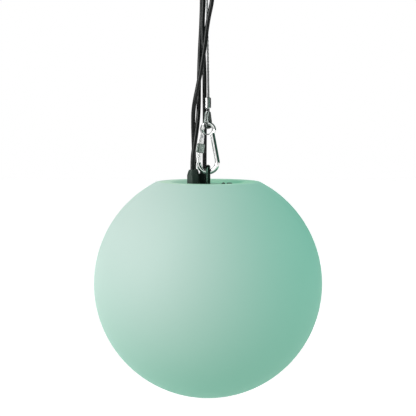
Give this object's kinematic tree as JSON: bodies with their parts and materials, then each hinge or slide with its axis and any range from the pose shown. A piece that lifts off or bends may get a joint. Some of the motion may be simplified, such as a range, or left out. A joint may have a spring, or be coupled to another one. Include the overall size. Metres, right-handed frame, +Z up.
{
  "type": "hanging garden globe light",
  "caption": "Milky globe light with a dished top, hung by a U bolt and a snap hook from a wire rope loop, with three leads through cable glands.",
  "frame": {"origin": "bearing point inside the top of the upper rope loop's thimble, where the whole light hangs", "axes": "+Z up along the rope, -Y towards the picture's camera, +X to its right; the globe's axis is the Z axis"},
  "size_m": [0.2999, 0.3, 0.5837],
  "materials": {
    "galvanised_rope": "stranded",
    "crimped_aluminium": "satin",
    "thimble_steel": "satin",
    "polished_steel": "polished",
    "dark_steel": "satin",
    "spring_steel": "bright",
    "milky_plastic": "satin, lit from inside",
    "plate_plastic": "satin",
    "seal_rubber": "matt",
    "bright_screws": "bright",
    "insert_brass": "plain",
    "sensor_lens": "gloss",
    "gland_nylon": "satin",
    "lead_jacket": "satin",
    "plug_rubber": "satin",
    "plug_nylon": "satin",
    "contact_brass": "bright",
    "sink_aluminium": "satin",
    "board_white": "solder mask",
    "led_phosphor": "gloss",
    "driver_case": "moulded",
    "board_green": "solder mask",
    "terminal_grey": "moulded"
  },
  "bodies": {
    "safety_wire": {"wire_rope": "galvanised_rope", "lower_ferrule": "crimped_aluminium", "upper_ferrule": "crimped_aluminium", "lower_thimble": "thimble_steel", "upper_thimble": "thimble_steel"},
    "snap_hook": {"hook_body": "polished_steel", "hook_eye_ring": "polished_steel", "gate_rivet": "polished_steel", "supply_lead": "lead_jacket", "control_in_lead": "lead_jacket", "control_out_lead": "lead_jacket", "supply_connector": "plug_rubber", "control_in_connector": "plug_rubber", "control_out_connector": "plug_rubber", "supply_contact_pins": "contact_brass", "control_in_contact_pins": "contact_brass", "control_out_contact_pins": "contact_brass"},
    "hook_gate": {"gate_arm": "polished_steel", "catch_pin": "dark_steel", "gate_spring": "spring_steel"},
    "lock_sleeve": {"lock_sleeve": "polished_steel"},
    "globe": {"globe_shell": "milky_plastic", "plate_gasket": "seal_rubber", "base_plate": "plate_plastic", "plate_screws": "bright_screws", "plate_inserts": "insert_brass", "hanging_lug": "dark_steel", "lug_washers": "bright_screws", "lug_nuts": "bright_screws", "sensor_window": "sensor_lens", "vent_plug": "gland_nylon", "gland_washers": "seal_rubber", "gland_locknuts": "gland_nylon", "lead_tails": "lead_jacket", "pillars": "bright_screws", "pillar_screws": "bright_screws", "heat_sink": "sink_aluminium", "led_boards": "board_white", "led_chips": "led_phosphor", "driver_housing": "driver_case", "control_board": "board_green", "board_screws": "bright_screws", "terminal_block": "terminal_grey", "supply_gland_body": "gland_nylon", "control_in_gland_body": "gland_nylon", "control_out_gland_body": "gland_nylon", "supply_gland_seal": "seal_rubber", "control_in_gland_seal": "seal_rubber", "control_out_gland_seal": "seal_rubber", "supply_gland_cap": "gland_nylon", "control_in_gland_cap": "gland_nylon", "control_out_gland_cap": "gland_nylon"},
    "supply_ring": {"supply_coupling_ring": "plug_nylon"},
    "control_in_ring": {"control_in_coupling_ring": "plug_nylon"},
    "control_out_ring": {"control_out_coupling_ring": "plug_nylon"}
  },
  "joints": [
    {"name": "hook_swing", "type": "hinge", "parent": "safety_wire", "child": "snap_hook", "pos_m": [0, 0, -0.2154], "axis": [0, 1, 0], "range_deg": [-8, 8]},
    {"name": "globe_swing", "type": "hinge", "parent": "snap_hook", "child": "globe", "pos_m": [0, 0, -0.2727], "axis": [1, 0, 0], "range_deg": [-12, 12], "deforming": ["supply_lead", "control_in_lead", "control_out_lead"]},
    {"name": "gate_open", "type": "hinge", "parent": "snap_hook", "child": "hook_gate", "pos_m": [-0.00762, 0, -0.22631], "axis": [0, -1, 0], "range_deg": [0, 30], "stiffness_Nm_per_rad": 0.03, "springref_deg": -20.05},
    {"name": "sleeve_slide", "type": "slide", "parent": "hook_gate", "child": "lock_sleeve", "axis": [0.1395, 0, 0.9902], "range_m": [-0.008, 0]},
    {"name": "supply_ring_turn", "type": "hinge", "parent": "snap_hook", "child": "supply_ring", "pos_m": [-0.008, 0.0275, 0.0018], "axis": [0, 0, 1], "continuous": true},
    {"name": "control_in_ring_turn", "type": "hinge", "parent": "snap_hook", "child": "control_in_ring", "pos_m": [0.0062, -0.0125, 0.0018], "axis": [0, 0, 1], "continuous": true},
    {"name": "control_out_ring_turn", "type": "hinge", "parent": "snap_hook", "child": "control_out_ring", "pos_m": [-0.0055, 0.012, 0.0018], "axis": [0, 0, 1], "continuous": true}
  ]
}
